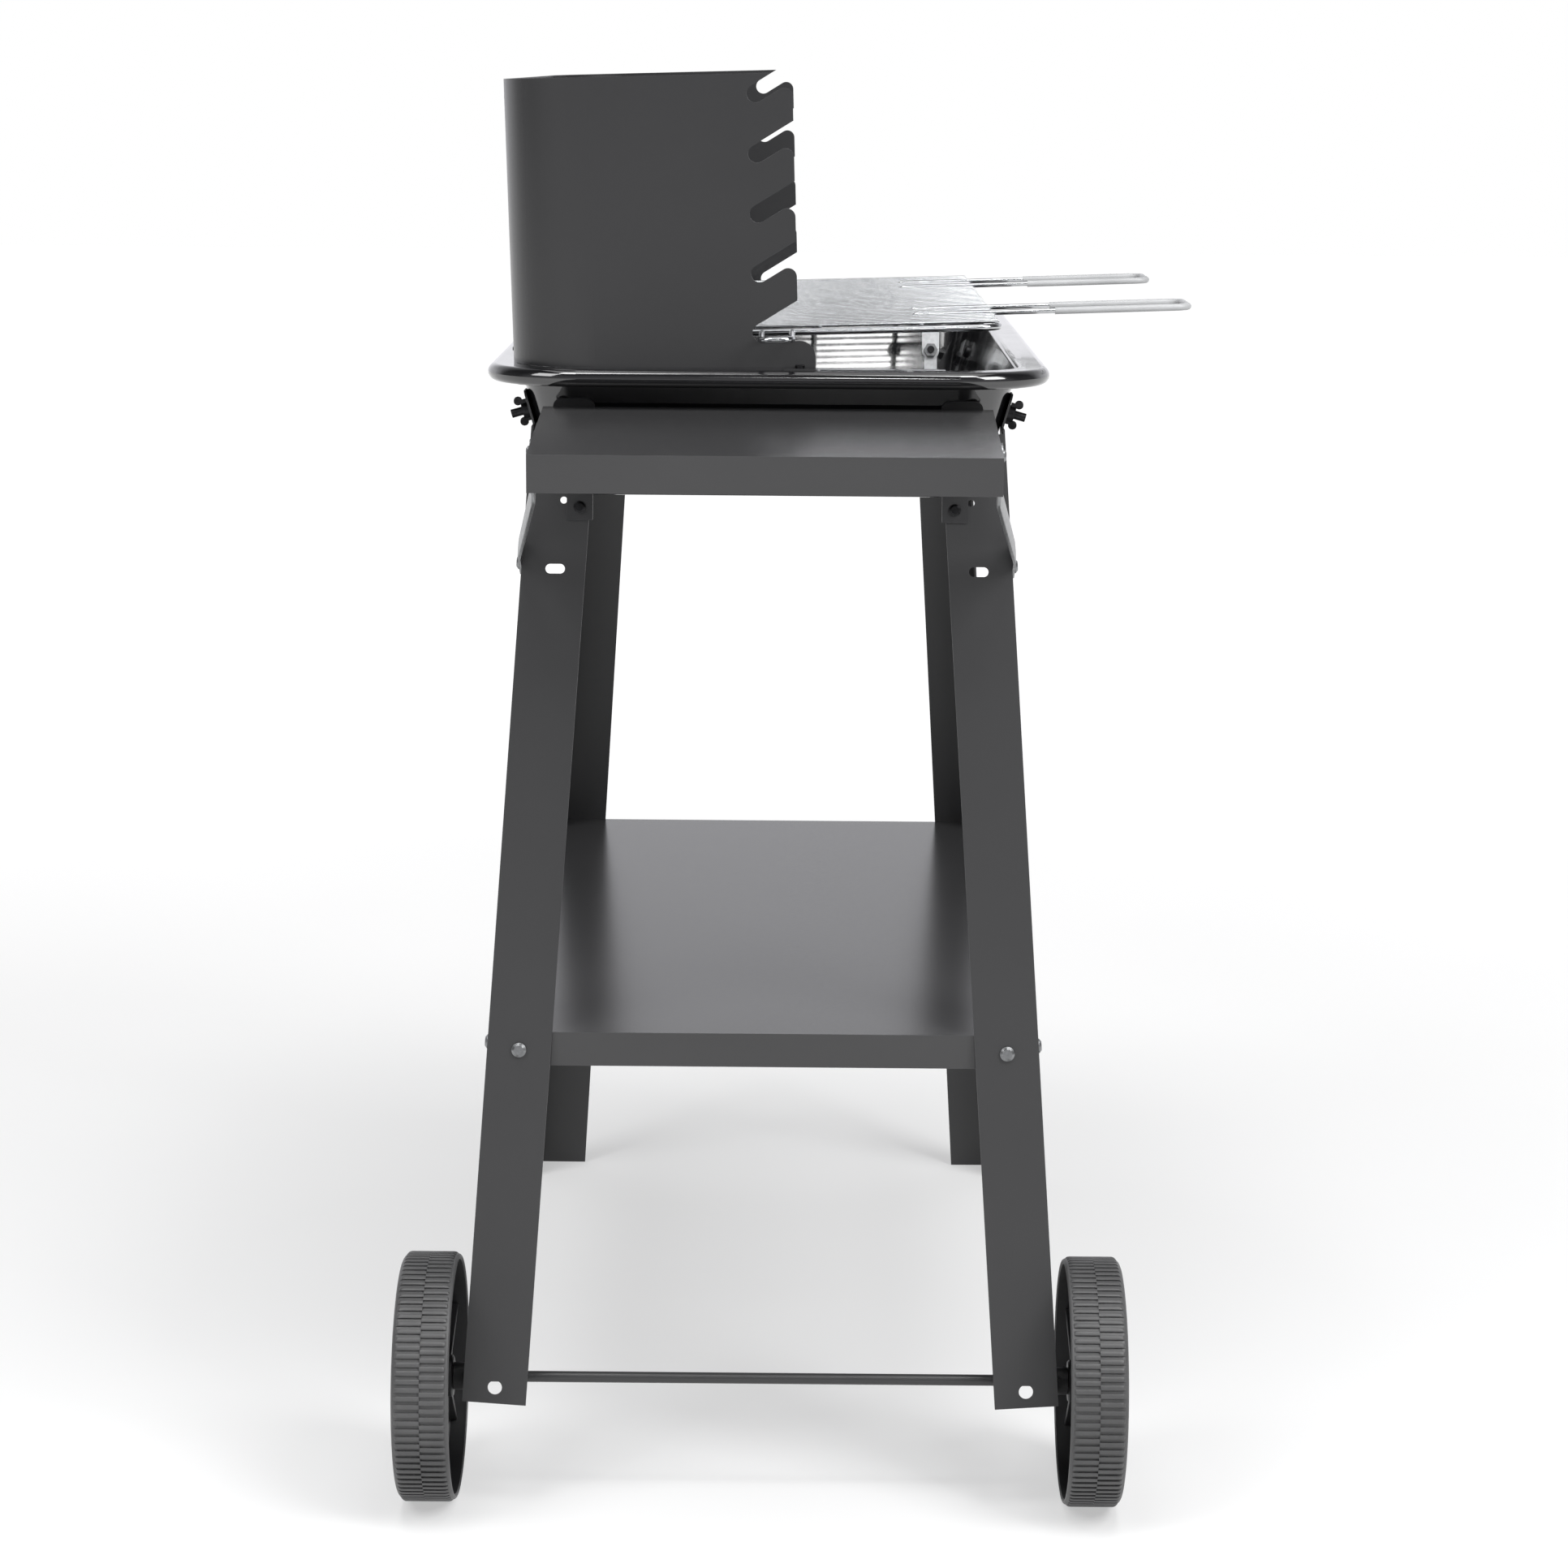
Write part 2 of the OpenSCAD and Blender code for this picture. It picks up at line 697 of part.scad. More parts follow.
module foot_leg() {
  difference() {
    intersection() {
      union() {
        leg_blank(-20);
        leg_tabs();
      }
      translate([-huge / 2, -huge / 2, 0]) cube(huge);
    }
    leg_holes();
  }
}

module wheel_leg() {
  difference() {
    union() {
      leg_blank(wheel_leg_bottom_z);
      leg_tabs();
    }
    leg_holes();
    at_end_face(leg_y(leg_end_hole_z) - flange_w / 2, leg_end_hole_z) translate([0, 0, -10])
      cylinder(r = leg_end_hole_r, h = 20);
    translate([-axle_x, foot_y + 20, wheel_r]) rotate([90, 0, 0]) cylinder(r = axle_r, h = 60);
  }
}

// ---- Fasteners of the bowl ----

module bowl_side_bolts() {
  all_quadrants() at_side_tab_bolt() translate([0, 0, -bowl_t]) bolt(m5_r, 14);
}

module bowl_wing_nuts() {
  all_quadrants() at_side_tab_bolt() translate([0, 0, leg_t]) rotate([0, 0, 70]) wing_nut(m5_r);
}

// The heads are outside, because the table's rear lip leaves no room for nuts there.
module bowl_end_bolts() {
  all_quadrants() at_end_tab_bolt() translate([0, 0, leg_t]) mirror([0, 0, 1]) bolt(m5_r, 10.5);
}

module bowl_end_nuts() {
  all_quadrants() at_end_tab_bolt() translate([0, 0, -bracket_back]) mirror([0, 0, 1]) nut(m5_r);
}

// ---- Side table ----

// The table's own frame: x = 0 at the legs, +X towards the free end, z = 0 on its top face.
module in_table() {
  mirror([1, 0, 0]) translate([leg_x(table_z), 0, table_z]) rotate([0, table_droop, 0]) children();
}

module table_outline(inset, start) {
  far = table_half_w - table_taper - inset;
  near = table_half_w - inset;
  polygon([[start, -near], [table_len - inset, -far], [table_len - inset, far], [start, near]]);
}

// The rear ears in (X, Z): flat on the leg below, then clear of the bowl's wall above.
module table_ear_outline() {
  bend_low = 612;
  bend_high = 622;
  top_x = leg_x(table_z) + table_start;
  polygon([
    [leg_x(table_ear_z), table_ear_z], [leg_x(bend_low), bend_low], [top_x, bend_high], [top_x, table_z - 1],
    [top_x + tray_t, table_z - 1], [top_x + tray_t, bend_high], [leg_x(bend_low) + tray_t, bend_low],
    [leg_x(table_ear_z) + tray_t, table_ear_z]
  ]);
}

module side_table() {
  ear_w = 15;
  difference() {
    union() {
      in_table() difference() {
        translate([0, 0, -tray_lip]) linear_extrude(tray_lip) table_outline(0, table_start);
        translate([0, 0, -tray_lip - eps]) linear_extrude(tray_lip - tray_t + eps)
          table_outline(tray_t, table_start + tray_t);
      }
      for (s = [-1, 1]) mirror([1, 0, 0]) translate([0, s * table_screw_y + ear_w / 2, 0]) rotate([90, 0, 0])
        linear_extrude(ear_w) table_ear_outline();
    }
    at_table_screws() translate([0, 0, -10]) cylinder(r = m4_hole_r, h = 20);
    for (s = [-1, 1]) at_strap_table_end(s) translate([0, 0, -10]) cylinder(r = m4_hole_r, h = 20);
  }
}

// Local +Z points into the leg, from the face of the table's ear.
module at_table_screws() {
  for (s = [-1, 1])
    quadrant(-1, s) at_end_face(table_screw_y, table_screw_z) translate([0, 0, tray_t])
      mirror([0, 0, 1]) children();
}

module table_screws() {
  at_table_screws() bolt(m4_r, 10);
}

module table_nuts() {
  at_table_screws() translate([0, 0, tray_t + leg_t]) nut(m4_r);
}

// ---- Braces ----

strap_end_x = 140;
strap_table_y = table_half_w - table_taper * strap_end_x / table_len + strap_gap;
strap_low = [leg_x(brace_z) + 10, 0, 556];
strap_mid = [leg_x(table_z) + strap_end_x - 16, strap_table_y, 600];

// Where a strap is screwed to the table's side lip: local +Z points outwards, from the strap's inner face.
module at_strap_table_end(s) {
  quadrant(1, s) in_table() translate([strap_end_x, strap_table_y, -tray_lip / 2])
    rotate([-90, 0, 0]) children();
}

// Steel strap from a wheel-end leg's side face to the outside of the table's side lip.
module brace(s) {
  bend_x = strap_low[0] - brace_x;
  bend_up = (strap_low[2] - brace_z) / cos(splay_y);
  run = norm([bend_x, bend_up]);
  difference() {
    union() {
      quadrant(-1, s) {
        at_side_face(brace_x, brace_z) {
          cylinder(r = strap_r, h = strap_t);
          rotate([0, 0, atan2(bend_up, bend_x)]) translate([0, -strap_r, 0])
            cube([run, 2 * strap_r, strap_t]);
        }
        hull() {
          at_side_face(strap_low[0], strap_low[2]) cylinder(r = strap_r, h = strap_t, $fn = 32);
          translate(strap_mid) rotate([-90, 0, 0]) cylinder(r = strap_r, h = strap_t, $fn = 32);
        }
      }
      hull() {
        quadrant(-1, s) translate(strap_mid) rotate([-90, 0, 0]) cylinder(r = strap_r, h = strap_t, $fn = 32);
        at_strap_table_end(s) cylinder(r = strap_r, h = strap_t, $fn = 32);
      }
    }
    quadrant(-1, s) at_side_face(brace_x, brace_z) translate([0, 0, -10]) cylinder(r = m5_hole_r, h = 20);
    at_strap_table_end(s) translate([0, 0, -10]) cylinder(r = m4_hole_r, h = 20);
  }
}

module brace_bolts() {
  for (s = [-1, 1]) {
    quadrant(-1, s) at_side_face(brace_x, brace_z) translate([0, 0, strap_t]) mirror([0, 0, 1])
      bolt(m5_r, 11);
    at_strap_table_end(s) translate([0, 0, strap_t]) mirror([0, 0, 1]) bolt(m4_r, 9);
  }
}

module brace_nuts() {
  for (s = [-1, 1]) {
    quadrant(-1, s) at_side_face(brace_x, brace_z) translate([0, 0, -leg_t]) mirror([0, 0, 1]) nut(m5_r);
    at_strap_table_end(s) translate([0, 0, -strap_gap - tray_t]) mirror([0, 0, 1]) nut(m4_r);
  }
}

// ---- Shelf ----

// Slack that keeps things standing on the shelf clear of the legs, which lean inwards above it.
shelf_slack_x = 0.5;
shelf_slack_y = 0.3;
shelf_half_x = leg_x(shelf_z) - leg_t / cos(splay_x) - shelf_slack_x;
shelf_half_y = leg_y(shelf_z) - leg_t / cos(splay_y) - shelf_slack_y;

module at_shelf_screws() {
  z = shelf_z - tray_lip / 2;
  all_quadrants() {
    at_end_face(leg_y(z) - flange_w / 2, z) mirror([0, 0, 1]) children();
    at_side_face(leg_x(z) - flange_w / 2, z) mirror([0, 0, 1]) children();
  }
}

module shelf() {
  hole_r = 3.2;
  difference() {
    translate([-shelf_half_x, -shelf_half_y, shelf_z - tray_lip])
      cube([2 * shelf_half_x, 2 * shelf_half_y, tray_lip]);
    translate([-shelf_half_x + tray_t, -shelf_half_y + tray_t, shelf_z - tray_lip - eps])
      cube([2 * (shelf_half_x - tray_t), 2 * (shelf_half_y - tray_t), tray_lip - tray_t + eps]);
    at_shelf_screws() translate([0, 0, -10]) cylinder(r = hole_r, h = 20);
  }
}

module shelf_screws() {
  at_shelf_screws() bolt(m5_r, 13);
}

module shelf_nuts() {
  at_shelf_screws() translate([0, 0, 6]) nut(m5_r);
}

// ---- Axle and wheels ----

module on_axle() {
  translate([axle_x, 0, wheel_r]) rotate([-90, 0, 0]) children();
}

module axle() {
  reach = hub_out_y + free_gap + cap_t - 1;
  on_axle() translate([0, 0, -reach]) cylinder(r = axle_r, h = 2 * reach);
}

module axle_spacers() {
  start = leg_y(wheel_r) + 0.6;
  on_axle() for (s = [-1, 1]) mirror([0, 0, s < 0 ? 1 : 0]) difference() {
    translate([0, 0, start]) cylinder(r = 8, h = hub_in_y - free_gap - start);
    translate([0, 0, start - eps]) cylinder(r = axle_r, h = 20);
  }
}

module axle_caps() {
  start = hub_out_y + free_gap;
  on_axle() for (s = [-1, 1]) mirror([0, 0, s < 0 ? 1 : 0]) difference() {
    union() {
      translate([0, 0, start]) cylinder(r = 8, h = 1.5);
      translate([0, 0, start]) cylinder(r = 5.5, h = cap_t);
    }
    translate([0, 0, start - eps]) cylinder(r = axle_r, h = cap_t - 1 + eps);
  }
}

// Moulded wheel with its axis on Z, from z = 0 at its inner face.
module wheel() {
  shoulder = 5;
  web_t = 4;
  web_z = 18;
  inner_r = wheel_r - tread_t;
  hub_z = hub_in_y - wheel_in_y;
  hub_len = hub_out_y - hub_in_y;
  ribs = 6;
  rib_t = 2.5;
  rib_low = 6;
  difference() {
    union() {
      rotate_extrude() polygon(concat(
        [[inner_r, 0]],
        arc([wheel_r - shoulder, shoulder], shoulder, -90, 0),
        arc([wheel_r - shoulder, wheel_w - shoulder], shoulder, 0, 90),
        [[inner_r, wheel_w], [inner_r, web_z + web_t], [hub_r, web_z + web_t - 6], [hub_r, web_z - 6],
         [inner_r, web_z]]
      ));
      translate([0, 0, hub_z]) cylinder(r = hub_r + 0.2, h = hub_len);
      for (k = [0:ribs - 1]) rotate([0, 0, (k + 0.3) * 360 / ribs]) rotate([90, 0, 0])
        linear_extrude(rib_t, center = true)
          polygon([[hub_r - 1, rib_low], [inner_r + 1, rib_low], [inner_r + 1, web_z + 1],
            [hub_r - 1, web_z - 5]]);
    }
    translate([0, 0, -eps]) cylinder(r = axle_r + axle_clearance, h = wheel_w + 2 * eps);
  }
}

module wheel_at(s) {
  on_axle() mirror([0, 0, s < 0 ? 1 : 0]) translate([0, 0, wheel_in_y]) wheel();
}

piece(enamel) bowl();
piece(zinc) grate_brackets();
piece(chrome) charcoal_grate_frame();
piece(chrome) charcoal_grate_bars();
piece(graphite) mirror([1, 0, 0]) windshield_side();  // windshield_wheel_side
piece(graphite) windshield_side();  // windshield_foot_side
piece(graphite) windshield_back();
piece(zinc) windshield_seam_screws();
piece(zinc) windshield_seam_nuts();
piece(zinc) windshield_rim_screws();
piece(chrome) grid_frame();
piece(chrome) grid_cross_wires();
piece(chrome) grid_bars();
piece(chrome) mirror([1, 0, 0]) handle();  // handle_wheel_side
piece(chrome) handle();  // handle_foot_side
piece(grip_grey) mirror([1, 0, 0]) grip();  // grip_wheel_side
piece(grip_grey) grip();  // grip_foot_side
piece(graphite) quadrant(-1, 1) wheel_leg();  // leg_wheel_rear
piece(graphite) quadrant(-1, -1) wheel_leg();  // leg_wheel_front
piece(graphite) quadrant(1, 1) foot_leg();  // leg_foot_rear
piece(graphite) quadrant(1, -1) foot_leg();  // leg_foot_front
piece(zinc) bowl_side_bolts();
piece(zinc) bowl_wing_nuts();
piece(zinc) bowl_end_bolts();
piece(zinc) bowl_end_nuts();
piece(graphite) side_table();
piece(zinc) table_screws();
piece(zinc) table_nuts();
piece(zinc) brace(1);  // brace_rear
piece(zinc) brace(-1);  // brace_front
piece(zinc) brace_bolts();
piece(zinc) brace_nuts();
piece(graphite) shelf();
piece(zinc) shelf_screws();
piece(zinc) shelf_nuts();
piece(graphite) axle();
piece(plastic) axle_spacers();
piece(plastic) axle_caps();
piece(plastic) wheel_at(1);  // wheel_rear
piece(plastic) wheel_at(-1);  // wheel_front
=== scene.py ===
"""Looks of the trolley charcoal grill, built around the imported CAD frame. Metres throughout."""

import math

import bmesh
import bpy
from mathutils import Matrix, Vector


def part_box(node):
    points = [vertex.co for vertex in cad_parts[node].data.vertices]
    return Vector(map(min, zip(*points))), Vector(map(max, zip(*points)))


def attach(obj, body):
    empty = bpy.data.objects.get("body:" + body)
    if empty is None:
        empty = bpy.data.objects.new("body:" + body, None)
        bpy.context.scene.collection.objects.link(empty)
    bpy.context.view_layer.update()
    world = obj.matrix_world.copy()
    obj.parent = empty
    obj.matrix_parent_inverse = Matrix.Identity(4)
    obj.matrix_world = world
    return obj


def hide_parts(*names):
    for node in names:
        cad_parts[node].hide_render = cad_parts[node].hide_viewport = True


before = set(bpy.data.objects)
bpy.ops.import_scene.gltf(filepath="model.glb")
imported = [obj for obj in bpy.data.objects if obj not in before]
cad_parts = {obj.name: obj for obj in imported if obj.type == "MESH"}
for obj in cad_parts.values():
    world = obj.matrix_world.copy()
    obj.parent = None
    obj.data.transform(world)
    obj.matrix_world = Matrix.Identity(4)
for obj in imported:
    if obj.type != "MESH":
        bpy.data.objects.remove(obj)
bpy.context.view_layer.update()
MM = 0.001


def middle(node):
    """Middle of a CAD node's box at rest."""
    lo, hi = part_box(node)
    return (lo + hi) / 2


# Lights, floor and camera are placed from the middle of the bowl.
BOWL_MID = middle("bowl")
CX, CY = BOWL_MID.x, BOWL_MID.y
RIM_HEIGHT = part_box("bowl")[1].z

# ---------------------------------------------------------------- materials


class Tree:
    """Small helper for a material's node tree, in object coordinates."""

    def __init__(self, name):
        self.mat = bpy.data.materials.new(name)
        self.mat.use_nodes = True
        self.tree = self.mat.node_tree
        self.tree.nodes.clear()
        self.out = self.add("ShaderNodeOutputMaterial")
        self.shader = self.add("ShaderNodeBsdfPrincipled")
        self.link(self.shader.outputs[0], self.out.inputs["Surface"])
        self.coords = self.add("ShaderNodeTexCoord").outputs["Object"]

    def add(self, kind, **values):
        node = self.tree.nodes.new(kind)
        for key, value in values.items():
            setattr(node, key, value)
        return node

    def link(self, a, b):
        self.tree.links.new(a, b)

    def set(self, **values):
        """Sets the shader's own sockets, with _ for a space."""
        for key, value in values.items():
            self.shader.inputs[key.replace("_", " ")].default_value = value

    def noise(self, scale, detail=3.0, rough=0.55):
        node = self.add("ShaderNodeTexNoise")
        node.inputs["Scale"].default_value = scale
        node.inputs["Detail"].default_value = detail
        node.inputs["Roughness"].default_value = rough
        self.link(self.coords, node.inputs["Vector"])
        return node.outputs["Fac"]

    def distance_from(self, point):
        node = self.add("ShaderNodeVectorMath", operation="DISTANCE")
        node.inputs[1].default_value = point
        self.link(self.coords, node.inputs[0])
        return node.outputs["Value"]

    def tones(self, value, low, high):
        """A colour between two tones."""
        node = self.add("ShaderNodeValToRGB")
        for element, at, tone in zip(node.color_ramp.elements, (0.3, 0.7), (low, high)):
            element.position = at
            element.color = (*tone, 1.0)
        self.link(value, node.inputs["Fac"])
        return node.outputs["Color"]

    def remap(self, value, low, high, start=0.3, end=0.7):
        """Goes from low to high as value goes from start to end."""
        node = self.add("ShaderNodeMapRange")
        for key, number in (("From Min", start), ("From Max", end), ("To Min", low), ("To Max", high)):
            node.inputs[key].default_value = number
        self.link(value, node.inputs["Value"])
        return node.outputs[0]

    def mix(self, factor, under, over):
        """The linked colour under, with the plain colour over it by factor."""
        node = self.add("ShaderNodeMix", data_type="RGBA")
        self.link(factor, node.inputs["Factor"])
        self.link(under, node.inputs[6])
        node.inputs[7].default_value = (*over, 1.0)
        return node.outputs[2]

    def edges(self, radius):
        """1 along sharp edges, 0 on flats."""
        bevel = self.add("ShaderNodeBevel", samples=4)
        bevel.inputs["Radius"].default_value = radius
        geometry = self.add("ShaderNodeNewGeometry")
        dot = self.add("ShaderNodeVectorMath", operation="DOT_PRODUCT")
        self.link(bevel.outputs[0], dot.inputs[0])
        self.link(geometry.outputs["Normal"], dot.inputs[1])
        return self.remap(dot.outputs["Value"], low=1.0, high=0.0, start=0.80, end=0.99)

    def base(self, colour):
        self.link(colour, self.shader.inputs["Base Color"])

    def gloss(self, value, rough, spread):
        """Roughness that wanders by spread about rough."""
        self.link(self.remap(value, rough - spread, rough + spread), self.shader.inputs["Roughness"])

    def bump(self, height, strength, distance):
        node = self.add("ShaderNodeBump")
        node.inputs["Strength"].default_value = strength
        node.inputs["Distance"].default_value = distance
        self.link(height, node.inputs["Height"])
        self.link(node.outputs[0], self.shader.inputs["Normal"])


# Edges painted lighter, as a painted highlight: how near an edge it is, its share of the colour, and how much
# lighter than the paint.
EDGE_HIGHLIGHT_REACH, EDGE_HIGHLIGHT_SHARE = 0.6 * MM, 0.35
EDGE_HIGHLIGHT_GAIN, EDGE_HIGHLIGHT_LIFT = 3.2, 0.02


def painted(name, low, high, rough):
    """Satin stove paint: fine orange peel, faint clouding, and a painted highlight that makes its edges
    lighter.
    """
    t = Tree(name)
    paint = t.tones(t.noise(scale=9.0, detail=4.0), low, high)
    # Edges painted lighter in patches: a painted highlight along them.
    edge_highlight = tuple(c * EDGE_HIGHLIGHT_GAIN + EDGE_HIGHLIGHT_LIFT for c in high)
    edge_highlight_mask = t.add("ShaderNodeMath", operation="MULTIPLY")
    t.link(t.edges(EDGE_HIGHLIGHT_REACH), edge_highlight_mask.inputs[0])
    t.link(t.remap(t.noise(scale=60.0), low=0.0, high=EDGE_HIGHLIGHT_SHARE, start=0.35, end=0.65), edge_highlight_mask.inputs[1])
    t.base(t.mix(edge_highlight_mask.outputs[0], paint, edge_highlight))
    t.gloss(t.noise(scale=420.0), rough, spread=0.012)
    t.bump(t.noise(scale=900.0, detail=2.0), strength=0.05, distance=0.2 * MM)
    return t.mat


def enamel():
    """Glossy black vitreous enamel with a slight ripple."""
    t = Tree("black_enamel")
    t.set(Specular_IOR_Level=0.8, Coat_Weight=0.6, Coat_Roughness=0.04)
    t.base(t.tones(t.noise(scale=14.0), (0.004, 0.004, 0.0045), (0.008, 0.008, 0.009)))
    t.gloss(t.noise(scale=25.0, detail=4.0), rough=0.11, spread=0.04)
    t.bump(t.noise(scale=160.0, detail=2.0), strength=0.06, distance=0.4 * MM)
    return t.mat


def metal(name, low, high, rough, spread, scratch=0.04):
    """Plated or blackened metal with a fine uneven sheen."""
    t = Tree(name)
    t.set(Metallic=1.0)
    t.base(t.tones(t.noise(scale=320.0, detail=4.0), low, high))
    sheen = t.noise(scale=260.0, rough=0.6)
    t.gloss(sheen, rough, spread)
    t.bump(sheen, strength=scratch, distance=0.1 * MM)
    return t.mat


def plastic(name, low, high, rough, grain=700.0, strength=0.12):
    """Moulded plastic with a fine spark-eroded grain."""
    t = Tree(name)
    t.base(t.tones(t.noise(scale=30.0, detail=4.0), low, high))
    t.gloss(t.noise(scale=80.0), rough, spread=0.06)
    t.bump(t.noise(scale=grain, detail=2.0), strength, distance=0.2 * MM)
    return t.mat


PAINT = painted("satin_paint", (0.034, 0.034, 0.035), (0.037, 0.037, 0.038), rough=0.38)
# The windshield's copy of the satin paint is darker, a painted shade, and glossier.
SHADED_SHIELD_PAINT = painted("satin_paint_shield_shaded", (0.022, 0.022, 0.023), (0.025, 0.025, 0.026), rough=0.26)
PAINT_TRAY = painted("satin_paint_trays", (0.033, 0.033, 0.034), (0.037, 0.037, 0.038), rough=0.25)
ENAMEL = enamel()
ZINC = metal("zinc_plate", (0.22, 0.225, 0.23), (0.31, 0.315, 0.32), rough=0.38, spread=0.06)
ZINC_BRIGHT = metal("zinc_clip", (0.58, 0.59, 0.60), (0.72, 0.73, 0.74), rough=0.45, spread=0.06)
BLACK_STEEL = metal("black_oxide", (0.020, 0.020, 0.021), (0.040, 0.040, 0.042), rough=0.40, spread=0.07)
CHROME = metal("chrome_wire", (0.42, 0.43, 0.44), (0.52, 0.53, 0.54), rough=0.14, spread=0.03, scratch=0.02)
GRIP = plastic("grip_coating", (0.32, 0.325, 0.33), (0.40, 0.405, 0.41), rough=0.42, grain=500.0,
               strength=0.08)
# The wheel's tread takes this lighter copy of its black plastic: painted light.
WHEEL_PAINTED_LIGHT = plastic("wheel_plastic", (0.060, 0.060, 0.061), (0.082, 0.082, 0.083), rough=0.48)
# Darker copy: painted shade on the wheel's disc and spokes, and the axle caps' and spacers' own dark colour.
DARK_PLASTIC_AND_WHEEL_SHADE = plastic("dark_plastic_and_wheel_shade", (0.008, 0.008, 0.009), (0.014, 0.014, 0.015), rough=0.45)

# The nodes that take each material. Every other node, such as the braces and small fixings, is zinc plated.
LOOKS = (
    (ENAMEL, ("bowl",)),
    # The windshield takes the darker copy of the satin paint, a painted shade.
    (SHADED_SHIELD_PAINT, ("windshield_wheel_side", "windshield_foot_side", "windshield_back")),
    (PAINT, ("leg_wheel_rear", "leg_wheel_front", "leg_foot_rear", "leg_foot_front", "axle")),
    (PAINT_TRAY, ("side_table", "shelf")),
    (CHROME, ("grid_frame", "grid_cross_wires", "grid_bars", "handle_wheel_side", "handle_foot_side",
              "charcoal_grate_frame", "charcoal_grate_bars")),
    (GRIP, ("grip_wheel_side", "grip_foot_side")),
    (DARK_PLASTIC_AND_WHEEL_SHADE, ("axle_spacers", "axle_caps")),
    # The wheel nodes take the lighter copy of the wheel's plastic, painted light.
    (WHEEL_PAINTED_LIGHT, ("wheel_rear", "wheel_front")),
    (ZINC_BRIGHT, ("grate_brackets",)),
    (BLACK_STEEL, ("bowl_wing_nuts", "bowl_side_bolts", "bowl_end_bolts", "table_screws",
                   "windshield_rim_screws")),
)
LOOK_OF = {node_name: look for look, node_names in LOOKS for node_name in node_names}

# Sheet metal has its sharp edges rounded a little.
SHEET_NODES = {
    "leg_wheel_rear", "leg_wheel_front", "leg_foot_rear", "leg_foot_front", "side_table", "shelf",
    "windshield_wheel_side", "windshield_foot_side", "windshield_back", "brace_rear", "brace_front",
}
EDGE_ROUND = 0.45 * MM
EDGE_ANGLE = math.radians(50)

for node_name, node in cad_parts.items():
    node.data.materials.clear()
    node.data.materials.append(LOOK_OF.get(node_name, ZINC))
    if node_name in SHEET_NODES:
        bevel = node.modifiers.new("soft_edges", "BEVEL")
        bevel.width = EDGE_ROUND
        bevel.segments = 2
        bevel.limit_method = "ANGLE"
        bevel.angle_limit = EDGE_ANGLE
        bevel.harden_normals = False

# ---------------------------------------------------------------- mesh helpers


def piece(name, bm, material, body, slot_name, *nodes, smooth=35.0):
    """Makes an object of a bmesh, rides it on its body and hides the CAD nodes it stands for.

    Edges sharper than smooth, in degrees, stay sharp.
    """
    mesh = bpy.data.meshes.new(name)
    bmesh.ops.recalc_face_normals(bm, faces=bm.faces)
    bm.to_mesh(mesh)
    bm.free()
    for polygon in mesh.polygons:
        polygon.use_smooth = True
    mesh.set_sharp_from_angle(angle=math.radians(smooth))
    mesh.materials.append(material)
    made = bpy.data.objects.new(name, mesh)
    bpy.context.scene.collection.objects.link(made)
    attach(made, body)
    if nodes:
        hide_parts(*nodes)


def ring_faces(bm, rings, closed=True):
    """Joins successive rings of vertices with quads, and the last to the first where closed."""
    count = len(rings[0])
    for a, b in zip(rings, rings[1:] + ([rings[0]] if closed else [])):
        for i in range(count):
            j = (i + 1) % count
            bm.faces.new((a[i], a[j], b[j], b[i]))


def polar(radius, angle, height):
    """A point at this radius and angle about local Z."""
    return Vector((radius * math.cos(angle), radius * math.sin(angle), height))


def revolve(bm, profile, steps, place):
    """Turns a closed (radius, height) outline about local Z. place maps a local point to the world."""
    turns = [2 * math.pi * k / steps for k in range(steps)]
    ring_faces(bm, [[bm.verts.new(place(polar(r, angle, h))) for angle in turns] for r, h in profile])


def arc(cx, cy, radius, start, end, count):
    """Points of an arc, with its angles in degrees."""
    angles = [math.radians(start + (end - start) * k / count) for k in range(count + 1)]
    return [(cx + radius * math.cos(a), cy + radius * math.sin(a)) for a in angles]


# ---------------------------------------------------------------- wheels

# Tread: the ribs in each row and their height.
RIBS = 94
RIB_RISE = 1.2 * MM
# A rib's share of the pitch, the flat top's share of the rib, the fall of the slopes beside the top,
# how deep the rib is rooted in the band, and the sections along it.
RIB_SHARE = 0.56
RIB_TOP_SHARE = 0.6
RIB_SLOPE = 0.25 * MM
RIB_ROOT = 1.0 * MM
RIB_SECTIONS = 9
# A rib rises to its full height over this length, and starts this far from the tread's edge.
RIB_FADE = 2.2 * MM
TREAD_BORDER = 2.0 * MM
# Radius of the tread's shoulder at the inner and the outer face, and the tread's thickness at the
# inner face, ribs included.
SHOULDERS = (1.8 * MM, 4.0 * MM)
SHOULDER_STEPS = 6
TREAD_WALL = 3.4 * MM
# Hub of the wheel, from its inner face: where it starts and ends, its radius and the bore's radius.
HUB_START, HUB_END, HUB_R, BORE_R = 3.0 * MM, 26.0 * MM, 12.2 * MM, 3.35 * MM
# The disc's two faces at the hub and at the tread, from the wheel's inner face.
DISC_HUB = (12.0 * MM, 16.0 * MM)
DISC_RIM = (18.0 * MM, 22.0 * MM)
# Bevel in the disc's corners, its rise at the hub, and the chamfer of the hub's ends.
BEVEL, HUB_RISE, CHAMFER = 1.5 * MM, 1.2 * MM, 0.8 * MM
# The wall inside the tread, in the darker copy of the plastic as a painted shade: where it starts from the
# inner face, how far it stands in from the tread, and how far it reaches into it.
WALL_START, WALL, WALL_TUCK = 0.8 * MM, 1.0 * MM, 0.4 * MM
# The ring at the outer face: how far inside the shoulder it starts, its width, and how far below
# the outer face its front, its back and the recess within it lie.
RING_INSET, RING_WIDTH = 1.2 * MM, 1.2 * MM
RING_FRONT, RING_BACK, RING_RECESS = 0.6 * MM, 3.0 * MM, 4.2 * MM
